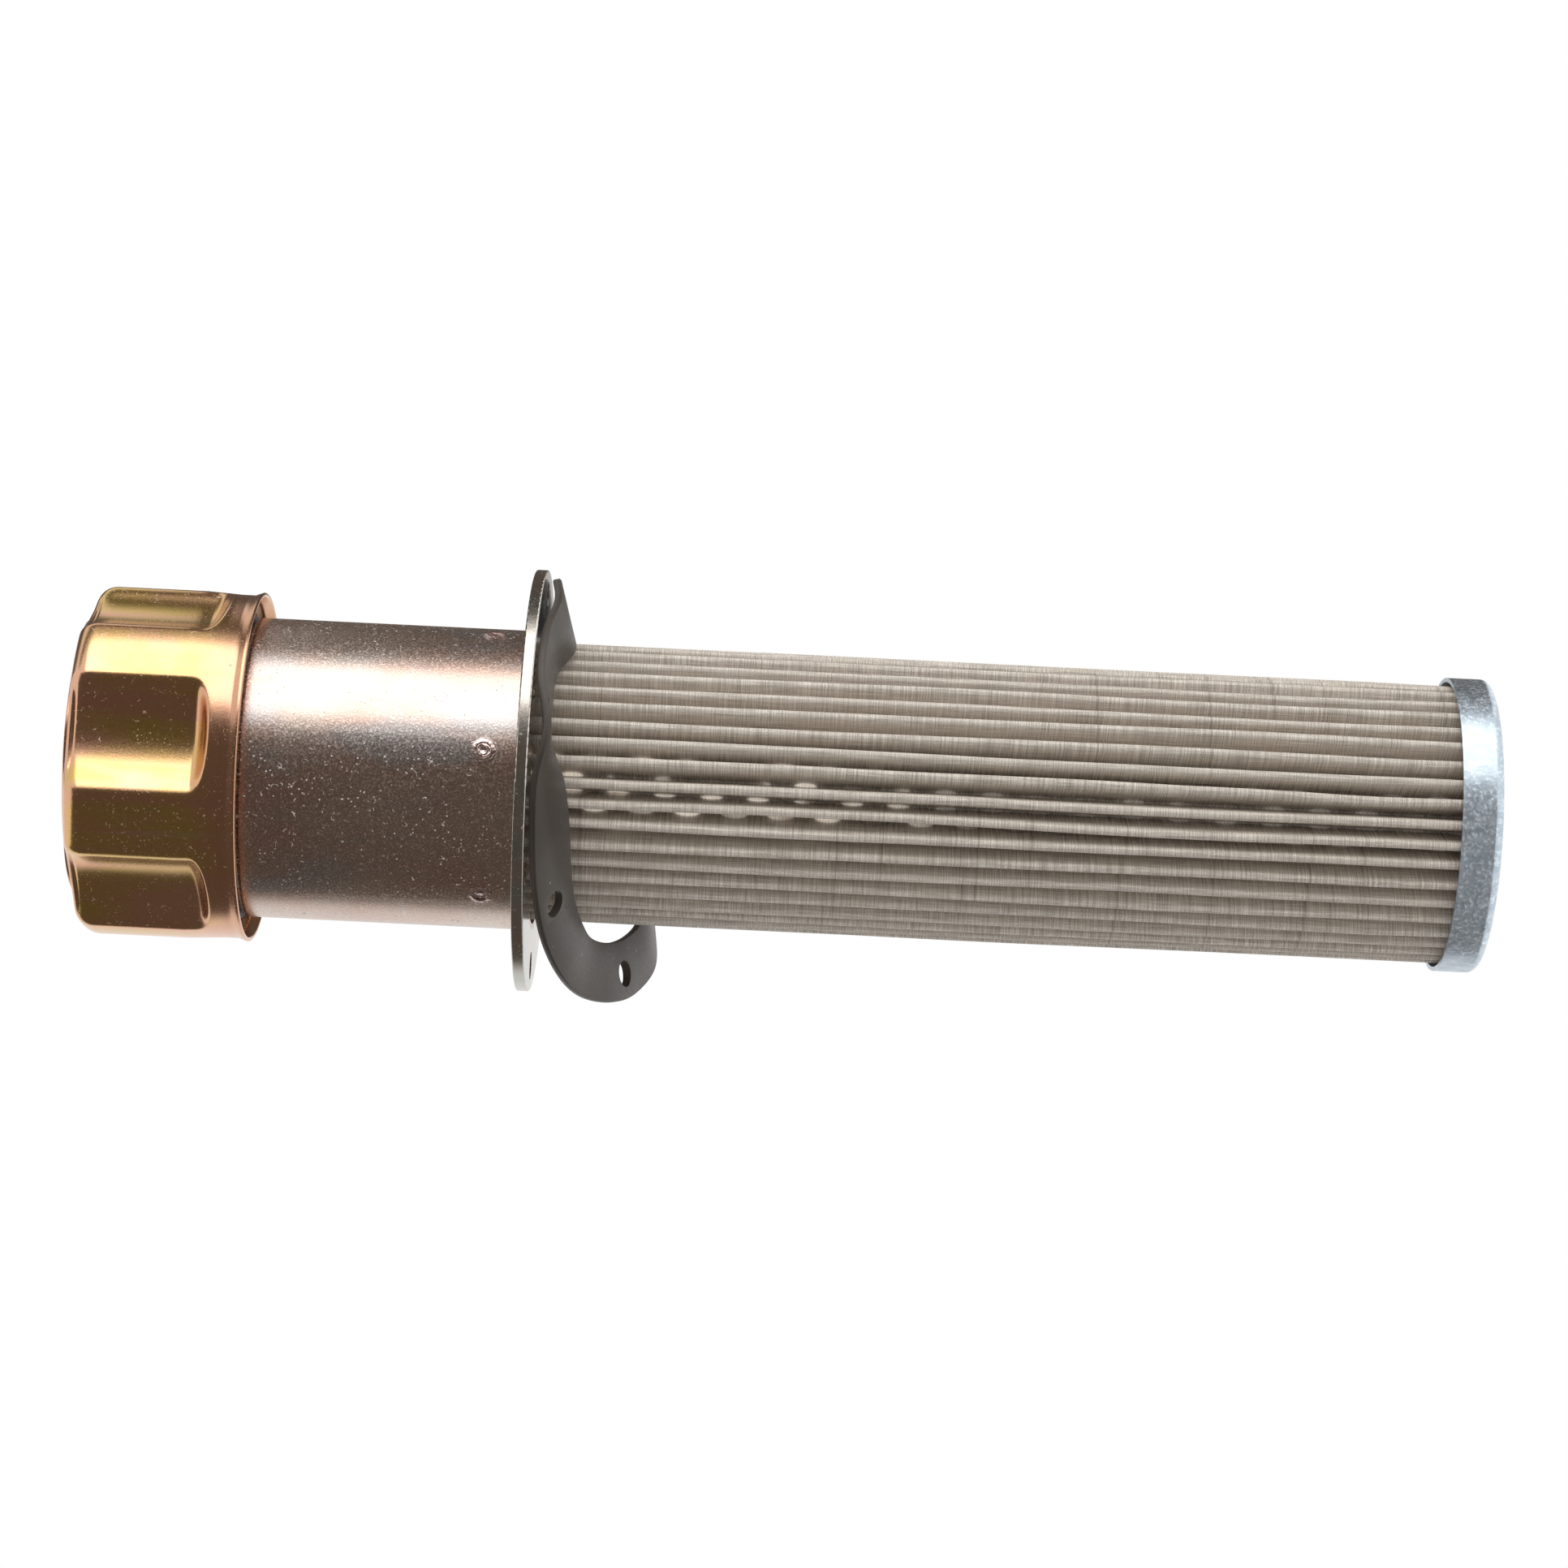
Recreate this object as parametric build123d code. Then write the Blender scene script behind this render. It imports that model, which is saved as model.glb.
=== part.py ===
from build123d import *
import math
import os

# Hydraulic tank filler: a fluted breather cap on a flanged neck, with a pleated strainer below.
# Millimetres. The axis is Z with the cap up, and the origin is the centre of the flange's underside.

# Clearances
RUN_GAP = 0.3          # between pieces that turn past each other
SEAT_GAP = 0.15        # between a pushed-in piece and its bore

# Mounting flange
FLANGE_T = 2.3
FLANGE_EDGE_R = 0.3
BOLT_CIRCLE_D = 73.0
BOLT_EDGE = 5.0        # from the bolt circle to the flange's outer edge
BOLT_HOLE_D = 5.5
BOLT_COUNT = 6
BOLT_START = 30.0      # angle of the first hole, counted from the front (-Y) towards +X

# Filler neck
NECK_D = 58.9
NECK_WALL = 1.2
NECK_H = 57.2
LIP_W = 5.95           # from the neck's outside to the bore of its turned-in lip
NOTCH_W = 16.0
NOTCH_DEPTH = 3.4
NECK_TOP_R = 2.0
MARK_D = 4.5
MARK_RING_W = 0.6
MARK_PIP_D = 1.5
MARK_STAND = 0.25
MARK_Z = 9.2
MARK_COUNT = 6
MARK_START = 10.5

# Cap shell, one sheet pressed to six flutes
CAP_GAP = 3.45         # between the neck and the inside of the skirt
RIDGE_STEP = 0.4       # ridges stand this much outside the skirt
CAP_SHEET = 0.9
CAP_OVERLAP = 1.9      # the rim hangs this much below the neck's top
CAP_H = 33.3
CAP_TOP_R = 4.0
RIM_FLARE = 0.6
RIM_FLARE_H = 2.0
FLUTE_COUNT = 6
FLUTE_START = 9.4
FLUTE_R = 22.0
FLUTE_DEPTH = 4.6
FLUTE_EDGE_R = 2.0
FLUTE_END_H = 5.7
FLUTE_END_RISE = 4.4
FLUTE_END_R = 5.6
CROWN_INSET = 6.7
CROWN_H = 0.8
CROWN_R = 0.7
CAP_TRIM = 5.0         # spare length of the cap's form below the rim, cut off at the end

# Inside the cap
SEAL_T = 1.5
SEAL_W = 6.5
SEAL_OVERHANG = 0.5
BASE_T = 1.0
BASE_VENT_D = 5.0
BASE_VENT_CIRCLE_D = 30.0
BASE_VENT_COUNT = 8
FOAM_GAP = 1.4
FOAM_TOP_GAP = 1.2
FOAM_EDGE_R = 2.5
STUD_D = 6.0
STUD_HEAD_D = 11.0
STUD_HEAD_H = 2.0
SPACER_D = 13.0
LOCK_T = 1.2
LOCK_GAP = 0.8
LUG_W = 13.0
LUG_COUNT = 2
LOCK_TURN = 60.0       # turn from locked to the notches in the neck's lip
LOCK_START = 0.0
SPRING_D = 24.0
SPRING_SHEET = 0.8
SPRING_H = 2.6

# Strainer
PLEAT_COUNT = 42
MESH_GAP = 0.3         # between the pleats' tips and the top ring
PLEAT_FOLD_R = 0.5
MESH_T = 0.35
STRAINER_REACH = 185.5 # from the flange's underside down to the end cap's bottom
END_CAP_GAP = 0.9      # between the pleats' tips and the end cap's wall
END_CAP_H = 8.0
END_CAP_SHEET = 0.8
END_CAP_R = 1.6
TOP_RING_SHEET = 0.6
TOP_RING_Z = 13.0
TOP_RING_H = 11.5
CORE_D = 38.0
CORE_GAP = 0.25        # between the core and the pleats' valleys
CORE_SHEET = 0.8
CORE_HOLE_D = 4.2
CORE_ROW_COUNT = 7
CORE_ROW_HOLE_COUNT = 8
CORE_MARGIN = 18.0
CLIP_SHEET = 0.4
CLIP_W = 2.6
CLIP_DEPTH = 3.6

# Loose gasket, twisted where it hangs between the flange and the strainer
GASKET_GAP = 0.3       # between the neck and the gasket's bore
GASKET_T = 1.6
GASKET_SAG = 1.5
GASKET_HOLE_D = 5.3
GASKET_TURN = -8.0
# How far the middle of the band hangs below the flange, and how it leans, every 15 degrees round
# the ring from the front: a positive lean brings the bore side down.
GASKET_DROP = (
    3.7, 3.1, 2.0, 2.3, 4.4, 3.9, 2.8, 2.4, 2.2, 2.6, 4.7, 8.6,
    13.0, 17.0, 19.9, 21.6, 21.9, 19.2, 15.5, 11.2, 8.4, 6.2, 5.0, 4.4,
)
GASKET_LEAN = (
    23, -2, 6, 7, 14, 15, 13, 10, 8, 6, 3, -2,
    -8, -14, -8, -11, -14, -12, -11, 4, 17, 25, 30, 31,
)

# Values worked out from the above
neck_r = NECK_D / 2
neck_bore_r = neck_r - NECK_WALL
lip_bore_r = neck_r - LIP_W
lip_z = NECK_H - NECK_WALL
bolt_r = BOLT_CIRCLE_D / 2
flange_r = bolt_r + BOLT_EDGE
skirt_r = neck_r + CAP_GAP + CAP_SHEET
ridge_r = skirt_r + RIDGE_STEP
flute_floor_r = ridge_r - FLUTE_DEPTH
crown_r = ridge_r - CROWN_INSET
rim_z = NECK_H - CAP_OVERLAP
cap_top_z = rim_z + CAP_H
flute_end_z = rim_z + FLUTE_END_H
crown_z = cap_top_z + CROWN_H
seal_z = NECK_H + RUN_GAP
base_z = seal_z + SEAL_T
lock_z = lip_z - RUN_GAP - LOCK_T
spring_z = lock_z - SPRING_H
end_z = -STRAINER_REACH
strainer_floor_z = end_z + END_CAP_SHEET
strainer_top_z = TOP_RING_Z - TOP_RING_SHEET
core_r = CORE_D / 2
ring_r = neck_bore_r - SEAT_GAP
tip_r = ring_r - TOP_RING_SHEET - MESH_GAP
valley_r = core_r + CORE_GAP + MESH_T
end_cap_r = tip_r + END_CAP_GAP + END_CAP_SHEET
gasket_bore_r = neck_r + GASKET_GAP


def azimuth(angle):
    """Angle about Z from +X, for an angle counted from the front (-Y) towards +X."""
    return angle - 90


def turned(angle):
    return Rot(0, 0, azimuth(angle))


def disc(diameter, thickness, z, bore=0.0):
    ring = Pos(0, 0, z) * Cylinder(diameter / 2, thickness, align=(Align.CENTER, Align.CENTER, Align.MIN))
    if bore:
        ring -= Pos(0, 0, z - 1) * Cylinder(
            bore / 2, thickness + 2, align=(Align.CENTER, Align.CENTER, Align.MIN)
        )
    return ring


def turned_profile(*points):
    """Solid of revolution about Z from radius and height pairs."""
    face = make_face(Plane.XZ * Polyline(*points, close=True))
    return revolve(face, axis=Axis.Z)


def axial_holes(diameter, circle_d, count, start, z, depth):
    drill = Cylinder(diameter / 2, depth, align=(Align.CENTER, Align.CENTER, Align.MIN))
    return [turned(start + k * 360 / count) * Pos(circle_d / 2, 0, z) * drill for k in range(count)]


def mounting_flange():
    plate = disc(2 * flange_r, FLANGE_T, 0)
    plate = fillet(plate.edges().filter_by(GeomType.CIRCLE), FLANGE_EDGE_R)
    plate -= disc(NECK_D, FLANGE_T + 2, -1)
    return plate - axial_holes(BOLT_HOLE_D, BOLT_CIRCLE_D, BOLT_COUNT, BOLT_START, -1, FLANGE_T + 2)


def weld_mark():
    """Raised ring with a pip in its middle, standing along +X on the neck."""
    height = NECK_WALL / 2 + MARK_STAND
    base = (Align.CENTER, Align.CENTER, Align.MIN)
    ring = Cylinder(MARK_D / 2, height, align=base)
    ring -= Cylinder(MARK_D / 2 - MARK_RING_W, height, align=base)
    mark = ring + Cylinder(MARK_PIP_D / 2, height, align=base)
    return Pos(neck_r - NECK_WALL / 2, 0, MARK_Z) * Rot(0, 90, 0) * mark


def filler_neck():
    """Tube with its top edge turned in to a lip, notched for the cap's two lugs."""
    tube = Cylinder(neck_r, NECK_H, align=(Align.CENTER, Align.CENTER, Align.MIN))
    tube = fillet(tube.edges().sort_by(Axis.Z)[-1], NECK_TOP_R)
    hollow = Cylinder(neck_bore_r, lip_z, align=(Align.CENTER, Align.CENTER, Align.MIN))
    hollow = fillet(hollow.edges().sort_by(Axis.Z)[-1], NECK_TOP_R - NECK_WALL / 2)
    tube -= hollow
    tube -= Cylinder(lip_bore_r, NECK_H + 1, align=(Align.CENTER, Align.CENTER, Align.MIN))
    reach = lip_bore_r + NOTCH_DEPTH
    notch = Box(reach, NOTCH_W, NECK_WALL * 2, align=(Align.MIN, Align.CENTER, Align.CENTER))
    notch = Pos(0, 0, NECK_H - NECK_WALL / 2) * notch
    for k in range(LUG_COUNT):
        tube -= turned(LOCK_START + LOCK_TURN + k * 360 / LUG_COUNT) * notch
    mark = weld_mark()
    for k in range(MARK_COUNT):
        tube += turned(MARK_START + k * 360 / MARK_COUNT) * mark
    return tube


def fluted_outline(inset):
    """Round outline with concave flutes and softened ridges, moved in by inset."""
    outline = Sketch() + Circle(ridge_r - inset)
    flute = Pos(flute_floor_r + FLUTE_R, 0) * Circle(FLUTE_R + inset)
    outline -= [turned(FLUTE_START + k * 360 / FLUTE_COUNT) * flute for k in range(FLUTE_COUNT)]
    corners = [v for v in outline.vertices() if abs(v.Y) > 1e-3 or v.X < 0]
    return fillet(corners, FLUTE_EDGE_R - inset)


def cap_form(inset, bottom):
    """The cap's outside form, or its hollow when moved in by the sheet's thickness."""
    top = cap_top_z - inset
    fluted = extrude(Pos(0, 0, bottom) * fluted_outline(inset), top - bottom)
    rim_edges = fluted.edges().filter_by_position(Axis.Z, top - 1e-3, top + 1e-3)
    fluted = fillet(rim_edges, CAP_TOP_R - inset)
    crown = disc(2 * (crown_r - inset), crown_z - inset - bottom, bottom)
    crown = fillet(crown.edges().sort_by(Axis.Z)[-1], CROWN_R)
    outer = skirt_r - inset
    end = flute_end_z - inset
    floor = flute_floor_r - inset
    with BuildPart() as skirt:
        with BuildSketch(Plane.XZ):
            with BuildLine():
                Polyline((floor, end + FLUTE_END_RISE), (0, end + FLUTE_END_RISE), (0, bottom))
                Polyline((0, bottom), (outer + RIM_FLARE, bottom), (outer + RIM_FLARE, rim_z))
                Polyline((outer + RIM_FLARE, rim_z), (outer, rim_z + RIM_FLARE_H), (outer, end))
                RadiusArc((outer, end), (floor, end + FLUTE_END_RISE), FLUTE_END_R + inset)
            make_face()
        revolve(axis=Axis.Z)
    return fluted + skirt.part + crown


def cap_shell():
    below = rim_z - CAP_TRIM
    form = cap_form(0, below) - cap_form(CAP_SHEET, below - 1)
    return form - disc(3 * ridge_r, rim_z - below + 2, below - 2)


def cap_base_plate():
    plate = disc(2 * (skirt_r - CAP_SHEET - RUN_GAP), BASE_T, base_z, STUD_D)
    return plate - axial_holes(BASE_VENT_D, BASE_VENT_CIRCLE_D, BASE_VENT_COUNT, 0, base_z - 1, BASE_T + 2)


def cap_seal():
    outer_r = neck_r + SEAL_OVERHANG
    return disc(2 * outer_r, SEAL_T, seal_z, 2 * (outer_r - SEAL_W))


def breather_foam():
    top = crown_z - CAP_SHEET - FOAM_TOP_GAP
    foam_r = flute_floor_r - CAP_SHEET - FOAM_GAP
    foam = disc(2 * foam_r, top - base_z - BASE_T, base_z + BASE_T)
    foam = fillet(foam.edges().sort_by(Axis.Z)[-1], FOAM_EDGE_R)
    return foam - disc(STUD_D + 2 * SEAT_GAP, top, base_z)


def plate_spacer():
    return disc(SPACER_D, base_z - lock_z - LOCK_T, lock_z + LOCK_T, STUD_D)


def bayonet_plate():
    plate = disc(2 * (lip_bore_r - LOCK_GAP), LOCK_T, lock_z)
    lug_r = lip_bore_r + NOTCH_DEPTH - RUN_GAP
    lug = Box(lug_r, LUG_W, LOCK_T, align=(Align.MIN, Align.CENTER, Align.MIN))
    for k in range(LUG_COUNT):
        plate += turned(LOCK_START + k * 360 / LUG_COUNT) * Pos(0, 0, lock_z) * lug
    plate -= disc(STUD_D, LOCK_T + 2, lock_z - 1)
    return plate - axial_holes(BASE_VENT_D, BASE_VENT_CIRCLE_D, BASE_VENT_COUNT, 0, lock_z - 1, LOCK_T + 2)


def cap_spring():
    """Cone-shaped spring washer that pulls the lugs up under the neck's lip."""
    inner = STUD_D / 2
    outer = SPRING_D / 2
    low = spring_z
    high = lock_z - SPRING_SHEET
    return turned_profile(
        (inner, low), (inner, low + SPRING_SHEET), (outer, high + SPRING_SHEET), (outer, high)
    )


def cap_stud():
    shank = disc(STUD_D, crown_z - CAP_SHEET - spring_z, spring_z)
    head = disc(STUD_HEAD_D, STUD_HEAD_H, spring_z - STUD_HEAD_H)
    head = fillet(head.edges().sort_by(Axis.Z)[0], STUD_HEAD_H * 0.4)
    return shank + head


def strainer_top_ring():
    """Channel ring open downwards, pushed into the neck over the top of the mesh."""
    sheet = TOP_RING_SHEET
    bore = core_r - CORE_SHEET - SEAT_GAP - sheet
    return turned_profile(
        (bore, strainer_top_z - TOP_RING_H / 2),
        (bore, TOP_RING_Z),
        (ring_r, TOP_RING_Z),
        (ring_r, TOP_RING_Z - TOP_RING_H),
        (ring_r - sheet, TOP_RING_Z - TOP_RING_H),
        (ring_r - sheet, strainer_top_z),
        (bore + sheet, strainer_top_z),
        (bore + sheet, strainer_top_z - TOP_RING_H / 2),
    )


def pleat_outline(inset):
    """Even star of pleats with round folds and straight walls, moved in by inset."""
    half_step = math.radians(180 / PLEAT_COUNT)
    tip_centre = tip_r - PLEAT_FOLD_R
    valley_centre = valley_r + PLEAT_FOLD_R
    run = tip_centre - valley_centre * math.cos(half_step)
    side = valley_centre * math.sin(half_step)
    slant = math.atan2(side, run) - math.asin(2 * PLEAT_FOLD_R / math.hypot(side, run))
    tip_fold = PLEAT_FOLD_R - inset
    valley_fold = PLEAT_FOLD_R + inset
    corner_tip = tip_centre + tip_fold / math.sin(slant)
    corner_valley = valley_centre - valley_fold / math.sin(slant + half_step)
    points = []
    for k in range(PLEAT_COUNT):
        for radius, place in ((corner_tip, 2 * k), (corner_valley, 2 * k + 1)):
            turn = math.radians(azimuth(0)) + place * half_step
            points.append((radius * math.cos(turn), radius * math.sin(turn)))
    star = make_face(Polyline(*points, close=True))
    middle = (corner_tip + corner_valley) / 2
    tips = [v for v in star.vertices() if math.hypot(v.X, v.Y) > middle]
    star = fillet(tips, tip_fold)
    valleys = [v for v in star.vertices() if math.hypot(v.X, v.Y) < corner_valley + 1e-3]
    return fillet(valleys, valley_fold)


def pleated_mesh():
    """Woven wire cloth folded to an even star of pleats."""
    height = strainer_top_z - strainer_floor_z
    return extrude(Pos(0, 0, strainer_floor_z) * (pleat_outline(0) - pleat_outline(MESH_T)), height)


def perforated_core():
    height = strainer_top_z - strainer_floor_z
    tube = disc(CORE_D, height, strainer_floor_z, CORE_D - 2 * CORE_SHEET)
    pitch = (height - 2 * CORE_MARGIN) / (CORE_ROW_COUNT - 1)
    drill = Cylinder(CORE_HOLE_D / 2, core_r, align=(Align.CENTER, Align.CENTER, Align.MIN))
    drill = Rot(0, 90, 0) * drill
    holes = []
    for row in range(CORE_ROW_COUNT):
        z = strainer_floor_z + CORE_MARGIN + row * pitch
        for k in range(CORE_ROW_HOLE_COUNT):
            angle = (k + 0.5 * (row % 2)) * 360 / CORE_ROW_HOLE_COUNT
            holes.append(Rot(0, 0, angle) * Pos(core_r / 2, 0, z) * drill)
    return tube - holes


def end_cap():
    """Shallow pressed cup that closes the strainer's lower end."""
    cup = disc(2 * end_cap_r, END_CAP_H, end_z)
    cup = fillet(cup.edges().sort_by(Axis.Z)[0], END_CAP_R)
    hollow = disc(2 * (end_cap_r - END_CAP_SHEET), END_CAP_H, strainer_floor_z)
    hollow = fillet(hollow.edges().sort_by(Axis.Z)[0], END_CAP_R - END_CAP_SHEET)
    return cup - hollow


def mesh_seam_clip():
    """Folded strip that clamps the two ends of the mesh along one pleat at the back."""
    low = end_z + END_CAP_R
    high = TOP_RING_Z - TOP_RING_H - RUN_GAP
    base = (Align.MIN, Align.CENTER, Align.MIN)
    back = tip_r + SEAT_GAP
    strip = Pos(back - CLIP_DEPTH, 0, low) * Box(CLIP_DEPTH + CLIP_SHEET, CLIP_W, high - low, align=base)
    gap = Pos(back - CLIP_DEPTH - 1, 0, low - 1) * Box(
        CLIP_DEPTH + 1, CLIP_W - 2 * CLIP_SHEET, high - low + 2, align=base
    )
    return turned(180) * (strip - gap)


def round_the_ring(values, angle):
    """Smooth closed curve through equally spaced values."""
    count = len(values)
    place = angle % 360 * count / 360
    k = int(place)
    u = place - k
    a, b, c, d = (values[(k + j - 1) % count] for j in range(4))
    square = a - 2.5 * b + 2 * c - d / 2
    cube = 1.5 * (b - c) + (d - a) / 2
    return b + u * (c - a) / 2 + u**2 * square + u**3 * cube


def gasket_frame(angle):
    """Plane of the band's section at an angle: X runs out across the band, Y is its face normal."""
    lean = math.radians(round_the_ring(GASKET_LEAN, angle))
    radius = (flange_r + gasket_bore_r) / 2 - GASKET_SAG * math.sin(math.radians(angle))
    turn = math.radians(azimuth(angle))
    out = Vector(math.cos(turn), math.sin(turn), 0)
    middle = out * radius - Vector(0, 0, round_the_ring(GASKET_DROP, angle))
    across = out * math.cos(lean) + Vector(0, 0, math.sin(lean))
    along = Vector(math.sin(turn), -math.cos(turn), 0)
    return Plane(origin=middle, x_dir=across, z_dir=along)


def flange_gasket():
    """Flat rubber band lofted round the ring in two halves, with its screw holes punched through."""
    width = flange_r - gasket_bore_r
    count = len(GASKET_DROP)
    ring = None
    for start in (0, count // 2):
        sections = [
            gasket_frame((start + k) * 360 / count) * Rectangle(width, GASKET_T)
            for k in range(count // 2 + 1)
        ]
        side = loft(sections)
        ring = side if ring is None else ring + side
    middle_r = (flange_r + gasket_bore_r) / 2
    for k in range(BOLT_COUNT):
        frame = gasket_frame(BOLT_START + GASKET_TURN + k * 360 / BOLT_COUNT)
        punch = Rot(90, 0, 0) * Cylinder(GASKET_HOLE_D / 2, 3 * GASKET_T)
        ring -= frame.location * Pos(bolt_r - middle_r, 0, 0) * punch
    return ring


PIECES = {
    "cap_shell": cap_shell,
    "breather_foam": breather_foam,
    "cap_base_plate": cap_base_plate,
    "cap_seal": cap_seal,
    "plate_spacer": plate_spacer,
    "bayonet_plate": bayonet_plate,
    "cap_spring": cap_spring,
    "cap_stud": cap_stud,
    "filler_neck": filler_neck,
    "mounting_flange": mounting_flange,
    "flange_gasket": flange_gasket,
    "strainer_top_ring": strainer_top_ring,
    "pleated_mesh": pleated_mesh,
    "perforated_core": perforated_core,
    "mesh_seam_clip": mesh_seam_clip,
    "end_cap": end_cap,
}

os.makedirs("parts", exist_ok=True)
for name, make in PIECES.items():
    export_step(make(), f"parts/{name}.step")
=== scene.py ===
import math
import random

import bmesh
import bpy
from mathutils import Matrix, Vector, noise


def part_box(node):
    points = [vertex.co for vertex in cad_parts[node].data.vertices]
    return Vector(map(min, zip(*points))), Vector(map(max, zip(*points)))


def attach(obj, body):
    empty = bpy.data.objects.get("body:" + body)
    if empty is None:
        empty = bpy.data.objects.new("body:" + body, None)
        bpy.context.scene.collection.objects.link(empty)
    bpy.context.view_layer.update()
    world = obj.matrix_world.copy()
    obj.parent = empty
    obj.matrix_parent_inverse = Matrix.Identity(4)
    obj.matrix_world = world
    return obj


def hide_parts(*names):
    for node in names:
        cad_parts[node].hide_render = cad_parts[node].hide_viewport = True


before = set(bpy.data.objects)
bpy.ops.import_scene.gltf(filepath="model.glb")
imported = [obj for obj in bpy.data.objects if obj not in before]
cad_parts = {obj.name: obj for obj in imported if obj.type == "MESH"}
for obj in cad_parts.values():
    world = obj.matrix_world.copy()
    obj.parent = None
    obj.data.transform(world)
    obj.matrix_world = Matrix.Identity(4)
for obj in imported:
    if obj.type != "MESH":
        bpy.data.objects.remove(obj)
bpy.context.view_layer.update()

MM = 0.001
TURN = 2 * math.pi
MERGE = 0.001 * MM

# Sizes read from the frame
cap_low, cap_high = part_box("cap_shell")
neck_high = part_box("filler_neck")[1]
flange_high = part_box("mounting_flange")[1]
mesh_low, mesh_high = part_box("pleated_mesh")
core_low, core_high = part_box("perforated_core")
end_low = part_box("end_cap")[0]

# The view: the photograph's width in pixels, its scale at the axis, and where its middle looks
PHOTO_PX = 1932
PX_PER_MM = 6.25
CAMERA_REACH = 814 * MM
CAMERA_ROLL = math.radians(2.77)
CENTRE_X = 1.7 * MM
CENTRE_Z = -48.2 * MM
SENSOR = 36.0
CLIP_NEAR = 0.01
CLIP_FAR = 20

# Studio: metres, and angles in degrees from the front towards +X, which is up in the photograph
AMBIENT = 0.50
SOFTBOX_POWER = 2.7
SOFTBOX_ANGLE = 63
SOFTBOX_REACH = 0.6
SOFTBOX_W = 0.50
SOFTBOX_H = 0.95
SCREEN_REACH = 0.5
SCREEN_HALF_H = 0.85
SCREEN_FADE = 12
SCREEN_STEPS = 48
SCREEN_GLOW = (0.108, 0.090, 0.077)
FRONT_SCREEN = (-118, 34)
BACK_SCREEN = (92, 172)
CAP_GLOW = (112, 136)
CAP_GLOW_REACH = 0.48
CAP_GLOW_Z = 0.13
FLOOR_R = 0.5
FLOOR_DROP = 0.12
FLOOR_LIFT = 0.6

# Cap
CAP_RIDGE_R = 34.2 * MM
CAP_SKIRT_R = 33.8 * MM
CAP_SHEET = 0.9 * MM
CAP_TOP_R = 4.0 * MM
CAP_STEPS = 432
CROWN_R = 27.5 * MM
CROWN_H = 0.8 * MM
CROWN_EDGE = 0.7 * MM
CROWN_FOOT = 0.15 * MM
RIM_FLARE = 0.6 * MM
RIM_FLARE_H = 2.0 * MM
LIP_ROUND = 0.35 * MM
WALL_LOW_Z = 67 * MM
SKIRT_HIGH_Z = 60 * MM
FLUTES = 6
FLUTE_START = 9.4
FLUTE_R = 22.0 * MM
FLUTE_DEPTH = 4.6 * MM
FLUTE_END_Z = 61.3 * MM
FLUTE_END_RISE = 3.6 * MM
FLUTE_END_CURVE = 2.2
FLUTE_BLEND = 1.5 * MM
FLUTE_LIMIT_R = 28.0 * MM

# Weld marks on the neck
MARKS = 6
MARK_START = 10.5
MARK_Z = 9.2 * MM
MARK_D = 4.5 * MM
MARK_END = 0.58 * MARK_D
MARK_FULL = 0.45 * MARK_D
MARK_WOBBLE = 0.25 * MM

# Pleated cloth: the folds' own unevenness fades out where the two ends hold them
PLEATS = 42
PLEAT_TIP_R = 27.2 * MM
PLEAT_VALLEY_R = 19.6 * MM
PLEAT_FOLD = 0.5 * MM
PLEAT_SEED = 11
PLEAT_LEAN = 0.008
PLEAT_SHORT = 0.3 * MM
PLEAT_BOW = 0.3 * MM
WIDE_SWAY = 0.022
FINE_SWAY = 0.004
HELD_END = 8 * MM
HELD_FADE = 14 * MM
MESH_T = 0.35 * MM
MESH_ROWS = 44

# Core, with staggered columns of holes, and the painted glints and painted dark rings on the cloth over
# them; the glints are strongest near the flange
CORE_SHEET = 0.8 * MM
HOLE_D = 4.2 * MM
HOLE_PITCH = 9.0 * MM
HOLE_COLUMNS = 28
HOLE_SIDES = 16
HOLE_GHOST = 1.35
HOLE_FULL = 0.8
RIM_W = 0.45 * MM
RIM_FULL_W = 0.1 * MM
GLOW_FULL_Z = -50 * MM
GLOW_END_Z = -85 * MM
GLOW_LEAST = 0.15
hole_count = int((core_high.z - core_low.z) / HOLE_PITCH) - 1
first_hole_z = (core_low.z + core_high.z - (hole_count - 0.5) * HOLE_PITCH) / 2

# Gasket: the drop of the band's middle in mm and its lean in degrees, at equal steps from the front
GASKET_OUT_R = flange_high.x
GASKET_BORE_R = 29.75 * MM
GASKET_MIDDLE_R = (GASKET_OUT_R + GASKET_BORE_R) / 2
GASKET_T = 1.6 * MM
GASKET_EDGE = 0.25 * MM
GASKET_SAG = 1.5 * MM
GASKET_STEPS = 240
GASKET_DROP = (
    3.7, 3.1, 2.0, 2.3, 4.4, 3.9, 2.8, 2.4, 2.2, 2.6, 4.7, 8.6,
    13.0, 17.0, 19.9, 21.6, 21.9, 19.2, 15.5, 11.2, 8.4, 6.2, 5.0, 4.4,
)
GASKET_LEAN = (
    23, -2, 6, 7, 14, 15, 13, 10, 8, 6, 3, -2,
    -8, -14, -8, -11, -14, -12, -11, 4, 17, 25, 30, 31,
)
SCREW_HOLES = 6
SCREW_HOLE_R = 2.65 * MM
SCREW_CIRCLE_R = 36.5 * MM
SCREW_START = 22
PUNCH_H = 5 * MM
SHARP_ANGLE = math.radians(60)

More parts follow.
